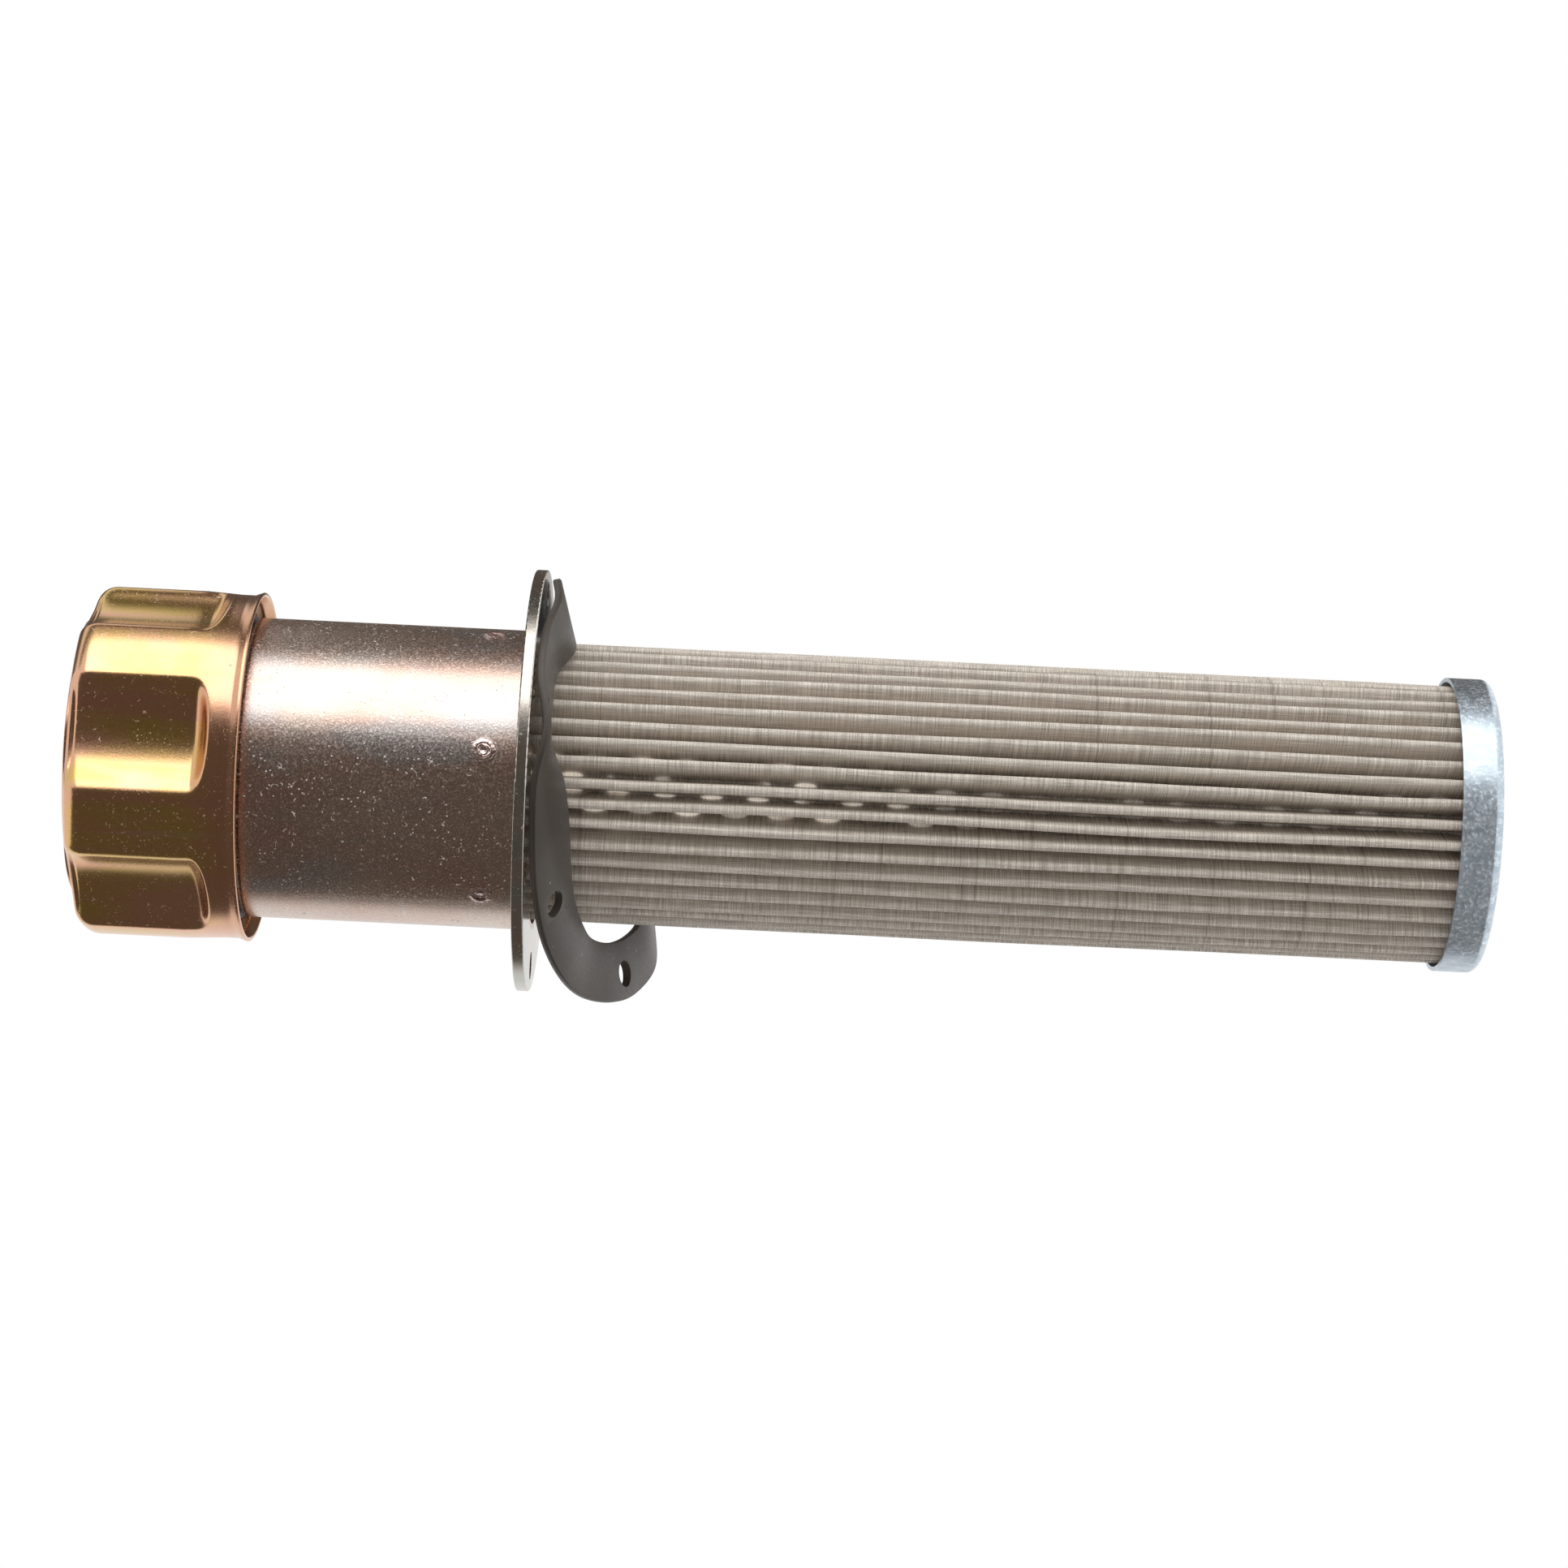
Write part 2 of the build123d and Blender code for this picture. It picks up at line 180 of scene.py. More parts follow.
# Tints of the plating, each drifting between three
YELLOW_TINTS = ((0.71, 0.46, 0.17), (0.75, 0.43, 0.28), (0.66, 0.46, 0.14))
BROWN_TINTS = ((0.61, 0.50, 0.43), (0.59, 0.42, 0.35), (0.51, 0.48, 0.47))
FLANGE_TINTS = ((0.52, 0.50, 0.46), (0.52, 0.46, 0.40), (0.45, 0.47, 0.43))
SILVER_TINTS = ((0.52, 0.59, 0.65), (0.44, 0.51, 0.57), (0.60, 0.67, 0.73))
INNER_TINTS = ((0.62, 0.60, 0.56), (0.55, 0.52, 0.48), (0.68, 0.66, 0.62))
TINT_NAMES = ("Tint A", "Tint B", "Tint C")
PINK = (0.72, 0.36, 0.27)
COPPER = (0.66, 0.36, 0.24)
COPPER_RIM = (9 * MM, 3 * MM)
COPPER_CROWN = (2.5 * MM, 0.8 * MM)
WELD_PINK = (0.68, 0.55, 0.52)
BARE_METAL = (0.85, 0.83, 0.8)
METAL_DUST = (0.78, 0.74, 0.68)

# Colours of the cloth, the gasket, the seal and the foam
WIRE_SHADE = (0.46, 0.395, 0.33)
WIRE_LIGHT = (0.96, 0.885, 0.785)
WIRE_PATCH = (0.76, 0.66, 0.56)
WIRE_CREASE = (0.30, 0.25, 0.20)
# Painted shade: dark rings on the cloth over the edges of the core's holes
PAINTED_HOLE_RIM_SHADE = (0.30, 0.26, 0.22)
# Painted light: the glow that the cloth gives off over the core's holes, as glints
PAINTED_HOLE_GLINT = (0.27, 0.26, 0.245)
LONG_THREADS = (4.2, 0.12, 1)
CROSS_THREADS = (0.10, 4.0, 1)
CREASES = (0.004, 1.1, 1)
RUBBER_DARK = (0.042, 0.031, 0.022)
RUBBER_LIGHT = (0.064, 0.050, 0.038)
RUBBER_DUST = (0.5, 0.47, 0.43)
SEAL_DARK = (0.02, 0.02, 0.02)
SEAL_LIGHT = (0.05, 0.048, 0.045)
FOAM_DARK = (0.01, 0.01, 0.01)
FOAM_LIGHT = (0.09, 0.09, 0.09)

# Heights of the fine relief
PLATING_RELIEF = 0.03 * MM
MARK_RELIEF = 0.5 * MM
WEAVE_RELIEF = 0.1 * MM
RUBBER_RELIEF = 0.05 * MM
SEAL_RELIEF = 0.1 * MM
FOAM_RELIEF = 0.4 * MM


def azimuth(angle):
    """Angle about Z from +X in radians, for degrees counted from the front towards +X."""
    return math.radians(angle - 90)


def from_front(angle, reach, z):
    """Place at a distance from the axis, at an angle from the front towards +X."""
    return (math.sin(math.radians(angle)) * reach, -math.cos(math.radians(angle)) * reach, z)


def make_object(name, bm, smooth=True):
    mesh = bpy.data.meshes.new(name)
    bm.to_mesh(mesh)
    bm.free()
    for face in mesh.polygons:
        face.use_smooth = smooth
    obj = bpy.data.objects.new(name, mesh)
    bpy.context.scene.collection.objects.link(obj)
    return obj


def bake(obj):
    """Applies an object's modifiers to its mesh."""
    graph = bpy.context.evaluated_depsgraph_get()
    mesh = bpy.data.meshes.new_from_object(obj.evaluated_get(graph))
    obj.modifiers.clear()
    obj.data = mesh


def closed_line(bm, verts):
    """Edges from each vertex to the next, and from the last to the first."""
    return [bm.edges.new(pair) for pair in zip(verts, verts[1:] + verts[:1])]


def spun(profile, steps):
    """Full turn about Z of an outline that starts and ends on the axis, as radius and height."""
    bm = bmesh.new()
    verts = [bm.verts.new((r, 0, z)) for r, z in profile]
    edges = [bm.edges.new(pair) for pair in zip(verts, verts[1:])]
    bmesh.ops.spin(
        bm, geom=verts + edges, cent=(0, 0, 0), axis=(0, 0, 1), angle=TURN, steps=steps, use_merge=True
    )
    bmesh.ops.remove_doubles(bm, verts=bm.verts, dist=MERGE)
    bmesh.ops.recalc_face_normals(bm, faces=bm.faces)
    return bm


def run(start, end, count):
    """Evenly spaced points from start up to, but without, end."""
    return [
        (start[0] + (end[0] - start[0]) * k / count, start[1] + (end[1] - start[1]) * k / count)
        for k in range(count)
    ]


def bend(centre, radius, first, last, count):
    """Points on an arc, angles in degrees from the radial direction."""
    points = []
    for k in range(count + 1):
        a = math.radians(first + (last - first) * k / count)
        points.append((centre[0] + radius * math.cos(a), centre[1] + radius * math.sin(a)))
    return points


def smooth_min(a, b, width):
    """The smaller of two values, with a rounded change from one to the other."""
    h = max(width - abs(a - b), 0) / width
    return min(a, b) - h * h * width / 4


def cap_profile():
    """Outline of the cap's sheet: outside from the crown's middle to the rim, lip, and inside."""
    top = cap_high.z - CROWN_H
    rim = cap_low.z
    flat = CROWN_R - CROWN_EDGE
    outer = run((0, cap_high.z), (flat, cap_high.z), 8)
    inner = [(r * (flat - CAP_SHEET) / flat, z - CAP_SHEET) for r, z in outer]
    edge = bend((flat, cap_high.z - CROWN_EDGE), CROWN_EDGE, 90, 0, 5)
    edge += run((CROWN_R + CROWN_FOOT, top), (CAP_RIDGE_R - CAP_TOP_R, top), 4)
    edge += bend((CAP_RIDGE_R - CAP_TOP_R, top - CAP_TOP_R), CAP_TOP_R, 90, 0, 12)[:-1]
    inner += [(r - CAP_SHEET, z - CAP_SHEET) for r, z in edge]
    wall = run((CAP_RIDGE_R, top - CAP_TOP_R), (CAP_RIDGE_R, WALL_LOW_Z), 14)
    wall += run((CAP_RIDGE_R, WALL_LOW_Z), (CAP_SKIRT_R, SKIRT_HIGH_Z), 24)
    wall += run((CAP_SKIRT_R, SKIRT_HIGH_Z), (CAP_SKIRT_R, rim + RIM_FLARE_H), 4)
    wall += run((CAP_SKIRT_R, rim + RIM_FLARE_H), (CAP_SKIRT_R + RIM_FLARE, rim + LIP_ROUND), 4)
    inner += [(r - CAP_SHEET, z) for r, z in wall]
    lip = bend((CAP_SKIRT_R + RIM_FLARE - CAP_SHEET / 2, 0), CAP_SHEET / 2, 0, -180, 6)
    lip = [(r, rim + LIP_ROUND + z * LIP_ROUND / (CAP_SHEET / 2)) for r, z in lip]
    return outer + edge + wall, lip, inner


def flute_push(angle, z):
    """How far the sheet is pressed in at an angle from the flute's middle."""
    centre = CAP_RIDGE_R - FLUTE_DEPTH + FLUTE_R
    side = centre * math.sin(angle)
    if abs(side) > FLUTE_R:
        return 0.0
    cut = centre * math.cos(angle) - math.sqrt(FLUTE_R**2 - side**2)
    rise = max(0.0, (FLUTE_END_Z + FLUTE_END_RISE - z) / FLUTE_END_RISE)
    cut += FLUTE_DEPTH * rise**FLUTE_END_CURVE
    return max(0.0, CAP_RIDGE_R - smooth_min(CAP_RIDGE_R, cut, FLUTE_BLEND))


def pressed_cap():
    """The cap's sheet, spun from its outline, with its wall and top edge pressed in at the flutes."""
    outer, lip, inner = cap_profile()
    bm = spun(outer + lip + inner[::-1], CAP_STEPS)
    top = cap_high.z - CROWN_H
    step = 360 / FLUTES
    near = 0.01 * CAP_SHEET
    for v in bm.verts:
        radius = math.hypot(v.co.x, v.co.y)
        if radius < FLUTE_LIMIT_R - CAP_SHEET:
            continue
        turn = math.degrees(math.atan2(v.co.y, v.co.x)) + 90 - FLUTE_START
        off = (turn + step / 2) % step - step / 2
        push = flute_push(math.radians(off), v.co.z)
        if push == 0:
            continue
        if v.co.z > top - CAP_TOP_R - CAP_SHEET and radius < CAP_RIDGE_R:
            inside = radius < CAP_RIDGE_R - CAP_SHEET - near and v.co.z < top - CAP_SHEET + near
            limit = FLUTE_LIMIT_R - (CAP_SHEET if inside else 0)
            full = CAP_RIDGE_R - (CAP_SHEET if inside else 0)
            fresh = limit + (radius - limit) * (full - push - limit) / (full - limit)
        else:
            fresh = radius - push
        v.co.x *= fresh / radius
        v.co.y *= fresh / radius
    return make_object("pressed_cap", bm)


def pleat_fold():
    """Half a pleat seen along the axis, from its tip on +X down the wall to its valley."""
    half = math.pi / PLEATS
    tip = PLEAT_TIP_R - PLEAT_FOLD
    valley = PLEAT_VALLEY_R + PLEAT_FOLD
    side = valley * math.sin(half)
    reach = tip - valley * math.cos(half)
    slant = math.atan2(side, reach) - math.asin(2 * PLEAT_FOLD / math.hypot(side, reach))
    points = bend((tip, 0), PLEAT_FOLD, 0, 90 - math.degrees(slant), 4)
    bottom = (valley * math.cos(half), side)
    low = bend(bottom, PLEAT_FOLD, 270 - math.degrees(slant), 180 + math.degrees(half), 4)
    return points + run(points[-1], low[0], 4)[1:] + low


def cloth_path():
    """The closed star of pleats, each a little uneven: radius, angle, pleat and share of its height."""
    random.seed(PLEAT_SEED)
    fold = pleat_fold()
    path = []
    for k in range(PLEATS):
        middle = azimuth(0) + k * TURN / PLEATS
        lean = random.uniform(-PLEAT_LEAN, PLEAT_LEAN)
        deep = random.uniform(-PLEAT_SHORT, 0.0)
        pleat = [(x, -y) for x, y in fold[:0:-1]] + fold[:-1]
        for x, y in pleat:
            radius = math.hypot(x, y)
            share = (radius - PLEAT_VALLEY_R) / (PLEAT_TIP_R - PLEAT_VALLEY_R)
            path.append((radius + deep * share, middle + math.atan2(y, x) + lean * share, k, share))
    return path


def wander(pleat, apart, row, z, ripple):
    """Smooth noise along one pleat, unlike its neighbours'."""
    return noise.noise(Vector((pleat * apart, row, z * ripple)))


def pleated_cloth():
    """Wire cloth in folds that wander a little, with a map along the cloth for its weave."""
    path = cloth_path()
    count = len(path)
    spots = [Vector((r * math.cos(turn), r * math.sin(turn))) for r, turn, k, share in path]
    length = [0.0]
    for i in range(count):
        length.append(length[-1] + (spots[(i + 1) % count] - spots[i]).length / MM)
    bm = bmesh.new()
    place = bm.verts.layers.int.new("place")
    along = bm.loops.layers.uv.new("cloth")
    low, high = mesh_low.z, mesh_high.z
    verts = []
    for i, spot in enumerate(spots):
        vert = bm.verts.new((spot.x, spot.y, low))
        vert[place] = i
        verts.append(vert)
    row = closed_line(bm, verts)
    for r in range(MESH_ROWS):
        made = bmesh.ops.extrude_edge_only(bm, edges=row)["geom"]
        lifted = [g for g in made if isinstance(g, bmesh.types.BMVert)]
        bmesh.ops.translate(bm, verts=lifted, vec=(0, 0, (high - low) / MESH_ROWS))
        fresh = set(lifted)
        row = [
            g for g in made
            if isinstance(g, bmesh.types.BMEdge) and g.verts[0] in fresh and g.verts[1] in fresh
        ]
    for face in bm.faces:
        closing = max(loop.vert[place] for loop in face.loops) == count - 1
        for loop in face.loops:
            i = loop.vert[place]
            if closing and i == 0:
                i = count
            loop[along].uv = (length[i], loop.vert.co.z / MM)
    for vert in bm.verts:
        radius, turn, k, share = path[vert[place]]
        z = vert.co.z
        free = min(z - low, high - z) - HELD_END
        held = max(0.0, min(1.0, free / HELD_FADE))
        sway = wander(k, 7.3, 0.5, z, 14) * WIDE_SWAY + wander(k, 3.1, 5.5, z, 50) * FINE_SWAY
        bow = wander(k, 5.7, 9.5, z, 18) * PLEAT_BOW
        radius = min(radius + bow * share * held, PLEAT_TIP_R)
        turn += sway * share * held
        vert.co.x = radius * math.cos(turn)
        vert.co.y = radius * math.sin(turn)
    bmesh.ops.recalc_face_normals(bm, faces=bm.faces)
    bmesh.ops.solidify(bm, geom=bm.faces[:], thickness=-MESH_T)
    return make_object("pleated_cloth", bm)


def perforated_tube():
    """Sheet of diamond cells, each with its round hole, rolled to the core's tube."""
    radius = core_high.y - CORE_SHEET
    width = TURN * (core_high.y - CORE_SHEET / 2) / HOLE_COLUMNS
    half = HOLE_PITCH / 2
    corners = [Vector((width, 0)), Vector((0, half)), Vector((-width, 0)), Vector((0, -half))]
    per_side = HOLE_SIDES // 4
    bm = bmesh.new()
    for column in range(HOLE_COLUMNS):
        for r in range(hole_count):
            middle = Vector((column * width, first_hole_z + (r + 0.5 * (column % 2)) * HOLE_PITCH))
            rim, edge = [], []
            for k in range(HOLE_SIDES):
                side = k // per_side
                spot = corners[side].lerp(corners[(side + 1) % 4], k % per_side / per_side)
                hole = middle + spot.normalized() * HOLE_D / 2
                cell = middle + spot
                rim.append(bm.verts.new((hole.x, 0, hole.y)))
                edge.append(bm.verts.new((cell.x, 0, cell.y)))
            bmesh.ops.bridge_loops(bm, edges=closed_line(bm, rim) + closed_line(bm, edge))
    for vert in bm.verts:
        turn = vert.co.x / width * TURN / HOLE_COLUMNS
        vert.co.x = radius * math.cos(turn)
        vert.co.y = radius * math.sin(turn)
    bmesh.ops.remove_doubles(bm, verts=bm.verts, dist=MERGE)
    bmesh.ops.recalc_face_normals(bm, faces=bm.faces)
    bmesh.ops.solidify(bm, geom=bm.faces[:], thickness=-CORE_SHEET)
    return make_object("perforated_tube", bm, smooth=False)


def round_the_ring(values, angle):
    """Smooth closed curve through equally spaced values."""
    count = len(values)
    place = angle % 360 * count / 360
    k = int(place)
    u = place - k
    a, b, c, d = (values[(k + j - 1) % count] for j in range(4))
    square = a - 2.5 * b + 2 * c - d / 2
    cube = 1.5 * (b - c) + (d - a) / 2
    return b + u * (c - a) / 2 + u**2 * square + u**3 * cube


def gasket_frame(angle):
    """Middle of the band at an angle, with its directions across, along and through."""
    lean = math.radians(round_the_ring(GASKET_LEAN, angle))
    radius = GASKET_MIDDLE_R - GASKET_SAG * math.sin(math.radians(angle))
    turn = azimuth(angle)
    out = Vector((math.cos(turn), math.sin(turn), 0))
    middle = out * radius - Vector((0, 0, round_the_ring(GASKET_DROP, angle) * MM))
    across = out * math.cos(lean) + Vector((0, 0, math.sin(lean)))
    along = Vector((-math.sin(turn), math.cos(turn), 0))
    return Matrix((across, along, across.cross(along))).transposed().to_4x4(), middle


def gasket_punch():
    """Six round punches that stand square on the band, one at each screw hole."""
    bm = bmesh.new()
    outward = Vector((SCREW_CIRCLE_R - GASKET_MIDDLE_R, 0, 0))
    for k in range(SCREW_HOLES):
        turned, middle = gasket_frame(SCREW_START + 360 / SCREW_HOLES * k)
        place = Matrix.Translation(middle + turned @ outward)
        bmesh.ops.create_cone(
            bm, cap_ends=True, segments=40, radius1=SCREW_HOLE_R, radius2=SCREW_HOLE_R,
            depth=PUNCH_H, matrix=place @ turned,
        )
    return make_object("gasket_punch", bm, smooth=False)


def twisted_gasket():
    """Flat rubber band swept round the twisted ring, with its screw holes punched through."""
    x = (GASKET_OUT_R - GASKET_BORE_R) / 2
    z = GASKET_T / 2
    outline = (
        (GASKET_EDGE - x, -z), (x - GASKET_EDGE, -z), (x, GASKET_EDGE - z), (x, z - GASKET_EDGE),
        (x - GASKET_EDGE, z), (GASKET_EDGE - x, z), (-x, z - GASKET_EDGE), (-x, GASKET_EDGE - z),
    )
    bm = bmesh.new()
    rings = []
    for k in range(GASKET_STEPS):
        turned, middle = gasket_frame(k * 360 / GASKET_STEPS)
        ring = [bm.verts.new(middle + turned @ Vector((side, 0, up))) for side, up in outline]
        rings.append(closed_line(bm, ring))
    for k in range(GASKET_STEPS):
        bmesh.ops.bridge_loops(bm, edges=rings[k] + rings[(k + 1) % GASKET_STEPS])
    bmesh.ops.recalc_face_normals(bm, faces=bm.faces)
    band = make_object("twisted_gasket", bm)
    punch = gasket_punch()
    cut = band.modifiers.new("screw_holes", "BOOLEAN")
    cut.operation = "DIFFERENCE"
    cut.solver = "EXACT"
    cut.object = punch
    bake(band)
    band.data.set_sharp_from_angle(angle=SHARP_ANGLE)
    bpy.data.objects.remove(punch)
    return band


def feed(tree, value, target):
    """Links a socket to an input, or sets a colour or a number on it."""
    if isinstance(value, bpy.types.NodeSocket):
        tree.links.new(value, target)
    elif isinstance(value, tuple):
        target.default_value = (*value, 1)
    else:
        target.default_value = value


def socket(group, name, kind, way, value=None):
    made = group.interface.new_socket(name=name, in_out=way, socket_type=kind)
    if value is not None:
        made.default_value = value


def object_place(tree):
    return tree.nodes.new("ShaderNodeTexCoord").outputs["Object"]


def object_axes(tree):
    """The three coordinates of a place on the object."""
    made = tree.nodes.new("ShaderNodeSeparateXYZ")
    tree.links.new(object_place(tree), made.inputs[0])
    return tuple(made.outputs)


def math_node(tree, operation, a, b=None, clamp=False):
    made = tree.nodes.new("ShaderNodeMath")
    made.operation = operation
    made.use_clamp = clamp
    feed(tree, a, made.inputs[0])
    if b is not None:
        feed(tree, b, made.inputs[1])
    return made.outputs[0]


def sum_of_squares(tree, a, b):
    return math_node(tree, "ADD", math_node(tree, "POWER", a, 2.0), math_node(tree, "POWER", b, 2.0))


def mix_colour(tree, share, a, b):
    made = tree.nodes.new("ShaderNodeMix")
    made.data_type = "RGBA"
    for place, value in ((0, share), (6, a), (7, b)):
        feed(tree, value, made.inputs[place])
    return made.outputs[2]


def map_range(tree, value, low, high, to_low=0.0, to_high=1.0):
    made = tree.nodes.new("ShaderNodeMapRange")
    for place, number in enumerate((value, low, high, to_low, to_high)):
        feed(tree, number, made.inputs[place])
    return made.outputs[0]


def noise_value(tree, vector, scale, detail=2.0, rough=0.5, stretch=None):
    if stretch:
        mapped = tree.nodes.new("ShaderNodeMapping")
        mapped.inputs["Scale"].default_value = stretch
        tree.links.new(vector, mapped.inputs["Vector"])
        vector = mapped.outputs[0]
    made = tree.nodes.new("ShaderNodeTexNoise")
    feed(tree, scale, made.inputs["Scale"])
    made.inputs["Detail"].default_value = detail
    made.inputs["Roughness"].default_value = rough
    tree.links.new(vector, made.inputs["Vector"])
    return made.outputs["Fac"]


def cell_distance(tree, vector, scale):
    """Distance from the middle of the nearest of many scattered cells."""
    made = tree.nodes.new("ShaderNodeTexVoronoi")
    feed(tree, scale, made.inputs["Scale"])
    tree.links.new(vector, made.inputs["Vector"])
    return made.outputs["Distance"]


def placed_group(tree, group):
    made = tree.nodes.new("ShaderNodeGroup")
    made.node_tree = group
    return made


def plated_zinc_group():
    """Passivated zinc: drifting interference tints, fine crystal speckle, scratches and dust."""
    group = bpy.data.node_groups.new("plated_zinc", "ShaderNodeTree")
    for name in TINT_NAMES:
        socket(group, name, "NodeSocketColor", "INPUT", (0.7, 0.6, 0.4, 1))
    for name, value in (
        ("Drift", 60.0), ("Speckle Size", 2600.0), ("Speckle", 0.3), ("Scratches", 0.3), ("Dust", 0.3),
        ("Dust Grid", 900.0), ("Smooth", 0.2), ("Rough", 0.4),
    ):
        socket(group, name, "NodeSocketFloat", "INPUT", value)
    socket(group, "Color", "NodeSocketColor", "OUTPUT")
    for name in ("Metallic", "Roughness", "Height"):
        socket(group, name, "NodeSocketFloat", "OUTPUT")
    given = group.nodes.new("NodeGroupInput").outputs
    result = group.nodes.new("NodeGroupOutput").inputs
    place = object_place(group)

    drift = noise_value(group, place, given["Drift"], 3.0, 0.55)
    finer = math_node(group, "MULTIPLY", given["Drift"], 2.3)
    second = noise_value(group, place, finer, 2.0, 0.5, (1, 1, 0.35))
    first_tint, second_tint, third_tint = (given[name] for name in TINT_NAMES)
    tint = mix_colour(group, map_range(group, drift, 0.38, 0.62), first_tint, second_tint)
    tint = mix_colour(group, map_range(group, second, 0.5, 0.68, 0, 0.85), tint, third_tint)

    crystals = noise_value(group, place, given["Speckle Size"], 1.0, 0.6)
    grain = map_range(group, crystals, 0.3, 0.7)
    bright = math_node(group, "MULTIPLY", map_range(group, crystals, 0.5, 0.75), given["Speckle"])
    lit = group.nodes.new("ShaderNodeVectorMath")
    lit.operation = "SCALE"
    group.links.new(tint, lit.inputs[0])
    group.links.new(math_node(group, "ADD", bright, 0.95), lit.inputs["Scale"])

    spot = map_range(group, cell_distance(group, place, given["Dust Grid"]), 0.20, 0.09)
    chosen = map_range(group, noise_value(group, place, 170.0, 1.0), 0.45, 0.60)
    spot = math_node(group, "MULTIPLY", spot, chosen)
    curl = math_node(group, "SUBTRACT", noise_value(group, place, 430.0, 1.0), 0.5)
    curl = math_node(group, "ABSOLUTE", curl)
    short = map_range(group, noise_value(group, place, 800.0, 1.0), 0.62, 0.68)
    fibre = math_node(group, "MULTIPLY", map_range(group, curl, 0.014, 0.005), short)
    dust = math_node(group, "MULTIPLY", math_node(group, "MAXIMUM", spot, fibre), given["Dust"])

    lengthwise = map_range(group, noise_value(group, place, 260.0, 2.0, 0.4, (1, 1, 0.03)), 0.69, 0.72)
    around = map_range(group, noise_value(group, place, 300.0, 2.0, 0.4, (0.2, 0.2, 1.6)), 0.71, 0.74)
    scratch = math_node(group, "MAXIMUM", lengthwise, around)
    scratch = math_node(group, "MULTIPLY", scratch, given["Scratches"])

    worn = mix_colour(group, scratch, lit.outputs[0], BARE_METAL)
    group.links.new(mix_colour(group, dust, worn, METAL_DUST), result["Color"])
    group.links.new(math_node(group, "SUBTRACT", 1.0, dust), result["Metallic"])
    span = math_node(group, "SUBTRACT", given["Rough"], given["Smooth"])
    rough = math_node(group, "ADD", math_node(group, "MULTIPLY", span, grain), given["Smooth"])
    rough = math_node(group, "ADD", rough, math_node(group, "MULTIPLY", dust, 0.4), clamp=True)
    group.links.new(rough, result["Roughness"])
    height = math_node(group, "ADD", grain, math_node(group, "MULTIPLY", drift, 1.5))
    group.links.new(height, result["Height"])
    return group


def weld_mark_group():
    """Masks of the six ringed weld marks round the neck: the whole mark, and its height."""
    group = bpy.data.node_groups.new("weld_marks", "ShaderNodeTree")
    socket(group, "Mark", "NodeSocketFloat", "OUTPUT")
    socket(group, "Height", "NodeSocketFloat", "OUTPUT")
    result = group.nodes.new("NodeGroupOutput").inputs
    x, y, z = object_axes(group)
    turn = math_node(group, "SUBTRACT", math_node(group, "ARCTAN2", y, x), azimuth(MARK_START))
    turn = math_node(group, "PINGPONG", turn, TURN / MARKS / 2)
    side = math_node(group, "MULTIPLY", turn, neck_high.x)
    up = math_node(group, "SUBTRACT", z, MARK_Z)
    away = math_node(group, "SQRT", sum_of_squares(group, side, up))
    wobble = noise_value(group, object_place(group), 700.0, 2.0)
    wobble = map_range(group, wobble, 0.3, 0.7, -MARK_WOBBLE, MARK_WOBBLE)
    away = math_node(group, "ADD", away, wobble)
    mark = map_range(group, away, MARK_END, MARK_FULL)
    ring = math_node(group, "PINGPONG", away, MARK_D / 4)
    height = math_node(group, "MULTIPLY", map_range(group, ring, 0, MARK_D / 4), mark)
    group.links.new(mark, result["Mark"])
    group.links.new(height, result["Height"])
    return group


def core_hole_group():
    """Masks on the cloth over the core's holes and their rims, for the painted glints and the painted
    dark rings there.
    """
    group = bpy.data.node_groups.new("core_holes", "ShaderNodeTree")
    for name in ("Hole", "Rim"):
        socket(group, name, "NodeSocketFloat", "OUTPUT")
    result = group.nodes.new("NodeGroupOutput").inputs
    x, y, z = object_axes(group)
    width = TURN * PLEAT_VALLEY_R / HOLE_COLUMNS
    around = math_node(group, "MULTIPLY", math_node(group, "ARCTAN2", y, x), PLEAT_VALLEY_R)
    around = math_node(group, "PINGPONG", around, width)
    up = math_node(group, "PINGPONG", math_node(group, "SUBTRACT", z, first_hole_z), HOLE_PITCH / 2)
    next_around = math_node(group, "SUBTRACT", width, around)
    next_up = math_node(group, "SUBTRACT", HOLE_PITCH / 2, up)
    own_column = sum_of_squares(group, around, up)
    next_column = sum_of_squares(group, next_around, next_up)
    radius = math_node(group, "SQRT", sum_of_squares(group, x, y))
    rise = math_node(group, "POWER", math_node(group, "SUBTRACT", radius, PLEAT_VALLEY_R), 2.0)
    away = math_node(group, "ADD", math_node(group, "MINIMUM", own_column, next_column), rise)
    away = math_node(group, "SQRT", away)
    edge = HOLE_D * HOLE_GHOST / 2
    group.links.new(map_range(group, away, edge, edge * HOLE_FULL), result["Hole"])
    off = math_node(group, "ABSOLUTE", math_node(group, "SUBTRACT", away, edge))
    group.links.new(map_range(group, off, RIM_W, RIM_FULL_W), result["Rim"])
    return group


def blank(name, **constants):
    """New material with its Principled shader, and constants set on the shader's own sockets."""
    made = bpy.data.materials.new(name)
    made.use_nodes = True
    shader = made.node_tree.nodes["Principled BSDF"]
    for key, value in constants.items():
        shader.inputs[key.replace("_", " ").title().replace("Ior", "IOR")].default_value = value
    return made, made.node_tree, shader


def bump(tree, shader, height, strength, distance, below=None):
    """Fine relief on a shader's normal, on top of the relief given as below."""
    made = tree.nodes.new("ShaderNodeBump")
    made.inputs["Strength"].default_value = strength
    made.inputs["Distance"].default_value = distance
    tree.links.new(height, made.inputs["Height"])
    if below is not None:
        tree.links.new(below, made.inputs["Normal"])
    tree.links.new(made.outputs[0], shader.inputs["Normal"])


